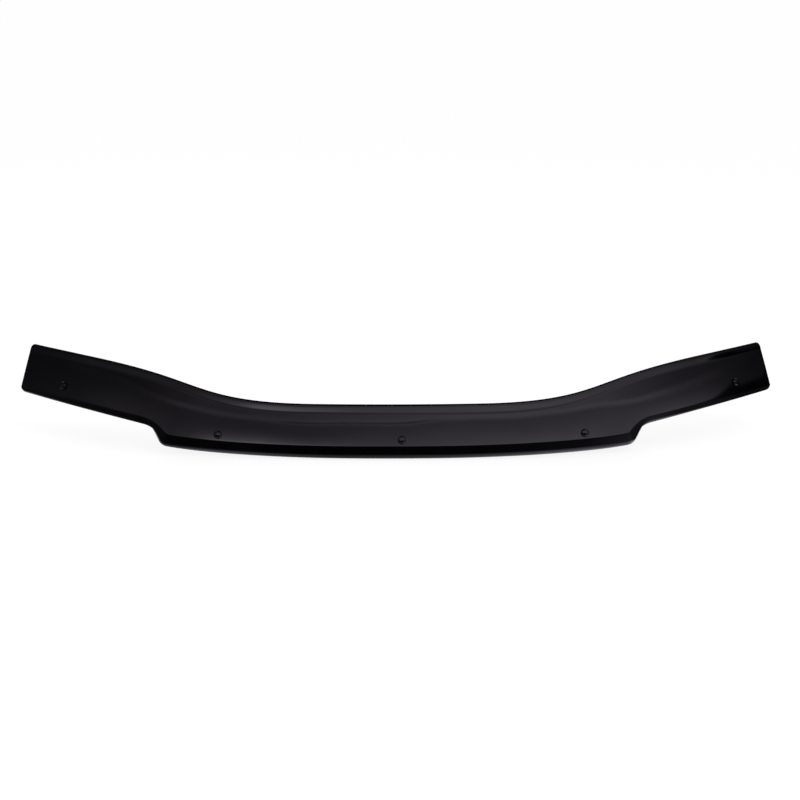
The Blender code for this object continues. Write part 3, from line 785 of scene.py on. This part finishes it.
class Look:
    """A material's node tree with short calls to add and join nodes."""

    def __init__(self, name, color, roughness, metallic=0.0, ior=1.5):
        self.tree = add_material(name).node_tree
        self.shader = self.tree.nodes["Principled BSDF"]
        self.shader.inputs["Base Color"].default_value = (*color, 1.0)
        self.shader.inputs["Roughness"].default_value = roughness
        self.shader.inputs["Metallic"].default_value = metallic
        self.shader.inputs["IOR"].default_value = ior
        self.place = self.tree.nodes.new("ShaderNodeTexCoord").outputs["Object"]

    def noise(self, scale, detail, stretch=None):
        """The value of a noise in the piece's own metres."""
        node = self.tree.nodes.new("ShaderNodeTexNoise")
        node.inputs["Scale"].default_value = scale
        node.inputs["Detail"].default_value = detail
        source = self.place
        if stretch:
            mapping = self.tree.nodes.new("ShaderNodeMapping")
            mapping.inputs["Scale"].default_value = stretch
            self.tree.links.new(source, mapping.inputs["Vector"])
            source = mapping.outputs["Vector"]
        self.tree.links.new(source, node.inputs["Vector"])
        return node.outputs["Fac"]

    def rough(self, low, high, **noise_form):
        """Roughness from low to high by a noise."""
        value = self.noise(**noise_form)
        node = self.tree.nodes.new("ShaderNodeMapRange")
        node.inputs["From Min"].default_value = ROUGH_SPAN[0]
        node.inputs["From Max"].default_value = ROUGH_SPAN[1]
        node.inputs["To Min"].default_value = low
        node.inputs["To Max"].default_value = high
        self.tree.links.new(value, node.inputs["Value"])
        self.tree.links.new(node.outputs["Result"], self.shader.inputs["Roughness"])

    def tint(self, stops, **noise_form):
        """Colour by a noise, on a ramp through the stops."""
        value = self.noise(**noise_form)
        node = self.tree.nodes.new("ShaderNodeValToRGB")
        ramp = node.color_ramp
        ramp.elements[0].position, ramp.elements[0].color = stops[0][0], (*stops[0][1], 1.0)
        ramp.elements[1].position, ramp.elements[1].color = stops[-1][0], (*stops[-1][1], 1.0)
        for position, color in stops[1:-1]:
            ramp.elements.new(position).color = (*color, 1.0)
        self.tree.links.new(value, node.inputs["Fac"])
        self.tree.links.new(node.outputs["Color"], self.shader.inputs["Base Color"])

    def bump(self, distance, strength, **noise_form):
        """Fine relief by a noise."""
        value = self.noise(**noise_form)
        node = self.tree.nodes.new("ShaderNodeBump")
        node.inputs["Distance"].default_value = distance
        node.inputs["Strength"].default_value = strength
        self.tree.links.new(value, node.inputs["Height"])
        self.tree.links.new(node.outputs["Normal"], self.shader.inputs["Normal"])


def make_materials():
    for slot, form in LOOKS.items():
        look = Look(slot + "_look", **form["base"])
        look.tint(**form["tint"])
        if "rough" in form:
            look.rough(**form["rough"])
        look.bump(**form["bump"])


def panel_glow(azimuth, elevation):
    """The panels: the lower fades from its foot up to the seam, and the upper starts bright over it."""
    over_seam = elevation - between(azimuth, SEAM_ELEVATION)
    down = np.clip(-over_seam / between(azimuth, FOOT_TO_SEAM), 0.0, FOOT_TO_SEAM_LIMIT)
    down = down ** between(azimuth, FOOT_TO_SEAM_BEND)
    lower = blend(between(azimuth, UNDER_SEAM_LEVEL), between(azimuth, FOOT_LEVEL), down)
    upper = blend(between(azimuth, OVER_SEAM_LEVEL), between(azimuth, TOP_LEVEL), ease(over_seam, *TOP_FADE))
    panel = blend(lower, upper, ease(over_seam, *SEAM_RISE))
    panel *= 1 - SEAM_LINE * within(over_seam, SEAM_LINE_SPAN) * within(azimuth, SEAM_LINE_AZIMUTH)
    return panel * (1 - ease(elevation, *OVERHEAD_DARK))


def ground_glow(azimuth, elevation):
    """Under the panels: the dark wall, the skirt where it meets the floor, and the floor."""
    across = BALL_RADIUS * np.cos(np.radians(elevation)) * np.sin(np.radians(azimuth))
    wall = blend(between(azimuth, WALL_LEVEL), between(azimuth, LOW_WALL_LEVEL), ease(elevation, *WALL_SPLIT))
    skirt_top = between(azimuth, SKIRT_TOP)
    ground = blend(wall, between(azimuth, SKIRT_LEVEL), ease(elevation, skirt_top, skirt_top - SKIRT_EASE))
    return blend(ground, between(across, FLOOR_LEVEL), ease(elevation, *SKIRT_TO_FLOOR))


def studio_glow(azimuth, elevation):
    """Brightness of the ball by direction: the panels over their foot, the ground under it, and the lamps."""
    foot = between(azimuth, FOOT_ELEVATION)
    lit = ease(elevation, foot - FOOT_BLUR, foot + FOOT_BLUR)
    front = blend(ground_glow(azimuth, elevation), panel_glow(azimuth, elevation), lit)
    side_lamp = within(np.abs(azimuth), SIDE_LAMP_AZIMUTH) * within(elevation, SIDE_LAMP_ELEVATION)
    left_panel = within(azimuth, LEFT_PANEL_AZIMUTH) * within(elevation, LEFT_PANEL_ELEVATION)
    return front + SIDE_LAMP_LEVEL * side_lamp + LEFT_PANEL_LEVEL * left_panel


def spaced(fine, coarse, low, high):
    """Values from low to high, close together over the fine range and far apart elsewhere."""
    first, last, step = fine
    below = np.arange(low, first, coarse)
    middle = np.arange(first, last, step)
    above = np.arange(last, high, coarse)
    return np.concatenate([below, middle, above])


def emitter(name, attribute, tint):
    """A material that shines by a point attribute."""
    material = add_material(name)
    tree = material.node_tree
    tree.nodes.clear()
    value = tree.nodes.new("ShaderNodeAttribute")
    value.attribute_name = attribute
    light = tree.nodes.new("ShaderNodeEmission")
    light.inputs["Color"].default_value = (*tint, 1.0)
    out = tree.nodes.new("ShaderNodeOutputMaterial")
    tree.links.new(value.outputs["Fac"], light.inputs["Strength"])
    tree.links.new(light.outputs["Emission"], out.inputs["Surface"])
    return material


def make_ball():
    """The panels round the object. Only glossy rays meet them."""
    azimuths = spaced(FINE_AZIMUTHS, COARSE_AZIMUTH, -180.0, 180.0)
    elevations = np.append(spaced(FINE_ELEVATIONS, COARSE_ELEVATION, -90.0, 90.0), 90.0)
    az_degrees, el_degrees = np.meshgrid(azimuths, elevations)
    az, el = np.radians(az_degrees), np.radians(el_degrees)
    outward = np.stack([np.cos(el) * np.sin(az), -np.cos(el) * np.cos(az), np.sin(el)], axis=-1)
    points = BALL_CENTRE + BALL_RADIUS * outward
    count, columns = az.shape
    order = np.arange(count * columns).reshape(count, columns)
    on = np.roll(order, -1, axis=1)
    quads = np.stack([order[:-1], order[1:], on[1:], on[:-1]], axis=-1).reshape(-1, 4)
    mesh = bpy.data.meshes.new("studio_panels")
    mesh.from_pydata(points.reshape(-1, 3).tolist(), [], quads.tolist())
    glow = mesh.attributes.new("glow", "FLOAT", "POINT")
    glow.data.foreach_set("value", studio_glow(az_degrees, el_degrees).astype(np.float32).ravel())
    mesh.materials.append(emitter("studio_panels", "glow", BALL_TINT))
    shell = add_object("studio_panels", mesh)
    shell.visible_camera = False
    shell.visible_diffuse = False
    shell.visible_transmission = False
    shell.visible_volume_scatter = False
    shell.visible_shadow = False


def seen_rays(tree):
    """1 for camera, glossy and transmission rays."""
    path = tree.nodes.new("ShaderNodeLightPath")
    total = path.outputs["Is Camera Ray"]
    for name in ("Is Glossy Ray", "Is Transmission Ray"):
        both = tree.nodes.new("ShaderNodeMath")
        both.operation = "MAXIMUM"
        tree.links.new(total, both.inputs[0])
        tree.links.new(path.outputs[name], both.inputs[1])
        total = both.outputs["Value"]
    return total


def make_floor():
    """A pale floor that keeps the shadow. Part of it shines for the rays that see it."""
    mesh = bpy.data.meshes.new("floor")
    half = FLOOR_SIZE / 2
    corners = [(-half, -half, 0), (half, -half, 0), (half, half, 0), (-half, half, 0)]
    mesh.from_pydata(corners, [], [(0, 1, 2, 3)])
    material = add_material("floor")
    tree = material.node_tree
    shader = tree.nodes["Principled BSDF"]
    shader.inputs["Base Color"].default_value = (FLOOR_COLOR, FLOOR_COLOR, FLOOR_COLOR, 1.0)
    shader.inputs["Roughness"].default_value = FLOOR_ROUGHNESS
    shader.inputs["Specular IOR Level"].default_value = 0.0
    light = tree.nodes.new("ShaderNodeEmission")
    share = tree.nodes.new("ShaderNodeMath")
    share.operation = "MULTIPLY"
    share.inputs[1].default_value = FLOOR_GLOW
    tree.links.new(seen_rays(tree), share.inputs[0])
    mix = tree.nodes.new("ShaderNodeMixShader")
    tree.links.new(share.outputs["Value"], mix.inputs["Fac"])
    tree.links.new(shader.outputs["BSDF"], mix.inputs[1])
    tree.links.new(light.outputs["Emission"], mix.inputs[2])
    tree.links.new(mix.outputs["Shader"], tree.nodes["Material Output"].inputs["Surface"])
    mesh.materials.append(material)
    floor = add_object("floor", mesh)
    floor.visible_glossy = False


def make_world():
    world = bpy.data.worlds.new("studio")
    bpy.context.scene.world = world
    world.use_nodes = True
    back = world.node_tree.nodes["Background"]
    back.inputs["Color"].default_value = (1.0, 1.0, 1.0, 1.0)
    back.inputs["Strength"].default_value = WORLD_LEVEL


def make_lamp(name, place, size, power):
    """A round lamp that points at the object. The gloss doesn't mirror it."""
    data = bpy.data.lights.new(name, "AREA")
    data.shape = "DISK"
    data.size = size
    data.energy = power
    lamp = add_object(name, data)
    lamp.location = place
    lamp.rotation_euler = (CAMERA_TARGET - Vector(place)).to_track_quat("-Z", "Y").to_euler()
    lamp.visible_glossy = False


def make_camera():
    elevation, yaw, roll = CAMERA_ELEVATION, CAMERA_YAW, CAMERA_ROLL
    level = Vector((math.sin(yaw), math.cos(yaw), 0.0))
    ahead = level * math.cos(elevation) - Vector((0.0, 0.0, math.sin(elevation)))
    right = ahead.cross(Vector((0.0, 0.0, 1.0))).normalized()
    up = right.cross(ahead)
    right, up = (
        right * math.cos(roll) - up * math.sin(roll),
        up * math.cos(roll) + right * math.sin(roll),
    )
    data = bpy.data.cameras.new("photo_camera")
    data.sensor_width = SENSOR_WIDTH
    data.lens = FOCAL_PIXELS / IMAGE_PIXELS * SENSOR_WIDTH
    data.shift_x = 0.5 - TARGET_PIXEL[0] / IMAGE_PIXELS
    data.shift_y = TARGET_PIXEL[1] / IMAGE_PIXELS - 0.5
    data.clip_end = 2 * FLOOR_SIZE
    camera = add_object("photo_camera", data)
    turn = Matrix((right, up, -ahead)).transposed().to_4x4()
    camera.matrix_world = Matrix.Translation(CAMERA_TARGET - CAMERA_DISTANCE * ahead) @ turn
    bpy.context.scene.camera = camera


make_materials()
make_fasteners(make_shield())
make_ball()
make_floor()
make_world()
for lamp_name, (lamp_place, lamp_size, lamp_power) in LAMPS.items():
    make_lamp(lamp_name, lamp_place, lamp_size, lamp_power)
make_camera()
bpy.context.scene.view_settings.view_transform = "Standard"
